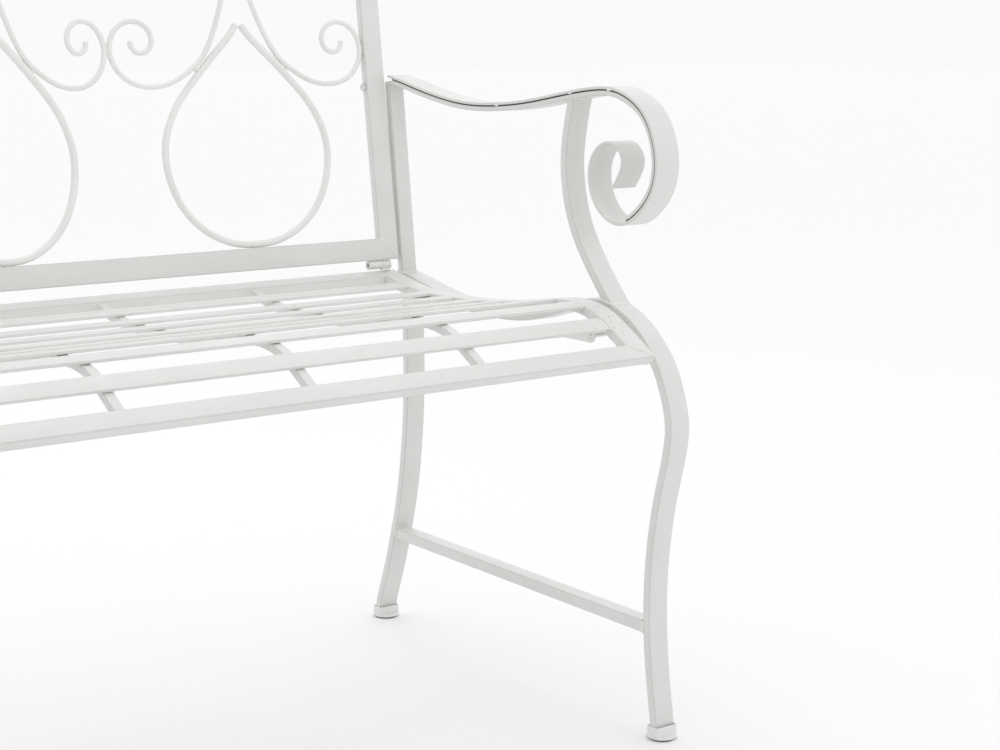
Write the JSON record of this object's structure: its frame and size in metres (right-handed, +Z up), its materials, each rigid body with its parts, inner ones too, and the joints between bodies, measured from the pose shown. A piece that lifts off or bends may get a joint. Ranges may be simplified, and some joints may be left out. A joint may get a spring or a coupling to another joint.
{
  "type": "garden bench",
  "caption": "Folding two-seat garden bench of white flat steel tube, with a slatted contoured seat, scrolled arms and a leaning backrest with loops and S-scrolls.",
  "frame": {"origin": "on the floor, under the middle of the bench", "axes": "+X along the bench to a seated person's left, which is the viewer's right from the front; +Y to the rear; +Z up"},
  "size_m": [1.012, 0.5513, 0.916],
  "materials": {
    "frame_paint": "white satin powder coat",
    "foot_plastic": "white moulded plastic",
    "bolt_zinc": "bright zinc plate"
  },
  "bodies": {
    "seat": {"back_hinge_lower_left": "frame_paint", "back_hinge_lower_right": "frame_paint", "hinge_seat_front_left": "frame_paint", "hinge_seat_front_right": "frame_paint", "hinge_seat_rear_left": "frame_paint", "hinge_seat_rear_right": "frame_paint", "seat_bearer_1": "frame_paint", "seat_bearer_2": "frame_paint", "seat_bearer_3": "frame_paint", "seat_bearer_4": "frame_paint", "seat_front_rail": "frame_paint", "seat_rear_rail": "frame_paint", "seat_side_rail_left": "frame_paint", "seat_side_rail_right": "frame_paint", "seat_slat_1": "frame_paint", "seat_slat_2": "frame_paint", "seat_slat_3": "frame_paint", "seat_slat_4": "frame_paint", "seat_slat_5": "frame_paint", "seat_slat_6": "frame_paint", "seat_slat_7": "frame_paint", "seat_slat_8": "frame_paint", "seat_slat_9": "frame_paint"},
    "backrest": {"back_bottom_rail": "frame_paint", "back_hinge_upper_left": "frame_paint", "back_hinge_upper_right": "frame_paint", "back_hoop": "frame_paint", "back_loop_left": "frame_paint", "back_loop_middle": "frame_paint", "back_loop_right": "frame_paint", "back_scroll_left_left": "frame_paint", "back_scroll_left_right": "frame_paint", "back_scroll_middle_left": "frame_paint", "back_scroll_middle_right": "frame_paint", "back_scroll_right_left": "frame_paint", "back_scroll_right_right": "frame_paint"},
    "end_frame_left": {"arm_band_left": "frame_paint", "arm_rail_left": "frame_paint", "arm_support_left": "frame_paint", "front_foot_left": "foot_plastic", "front_leg_left": "frame_paint", "hinge_frame_front_left": "frame_paint", "hinge_frame_rear_left": "frame_paint", "rear_foot_left": "foot_plastic", "rear_leg_left": "frame_paint", "rear_post_left": "frame_paint", "stretcher_left": "frame_paint"},
    "end_frame_right": {"arm_band_right": "frame_paint", "arm_rail_right": "frame_paint", "arm_support_right": "frame_paint", "front_foot_right": "foot_plastic", "front_leg_right": "frame_paint", "hinge_frame_front_right": "frame_paint", "hinge_frame_rear_right": "frame_paint", "rear_foot_right": "foot_plastic", "rear_leg_right": "frame_paint", "rear_post_right": "frame_paint", "stretcher_right": "frame_paint"},
    "lock_bolt_left": {"lock_bolt_left": "bolt_zinc"},
    "lock_bolt_right": {"lock_bolt_right": "bolt_zinc"}
  },
  "joints": [
    {"name": "backrest_fold", "type": "hinge", "parent": "seat", "child": "backrest", "pos_m": [0, 0.2037, 0.44709], "axis": [1, 0, 0], "range_deg": [0, 95]},
    {"name": "end_frame_fold_right", "type": "hinge", "parent": "seat", "child": "end_frame_right", "pos_m": [0.4392, 0, 0.4145], "axis": [0, 1, 0], "range_deg": [0, 90]},
    {"name": "end_frame_fold_left", "type": "hinge", "parent": "seat", "child": "end_frame_left", "pos_m": [-0.4392, 0, 0.4145], "axis": [0, -1, 0], "range_deg": [0, 90]},
    {"name": "lock_bolt_slide_right", "type": "slide", "parent": "backrest", "child": "lock_bolt_right", "axis": [-1, 0, 0], "range_m": [0, 0.015]},
    {"name": "lock_bolt_slide_left", "type": "slide", "parent": "backrest", "child": "lock_bolt_left", "axis": [1, 0, 0], "range_m": [0, 0.015]}
  ]
}
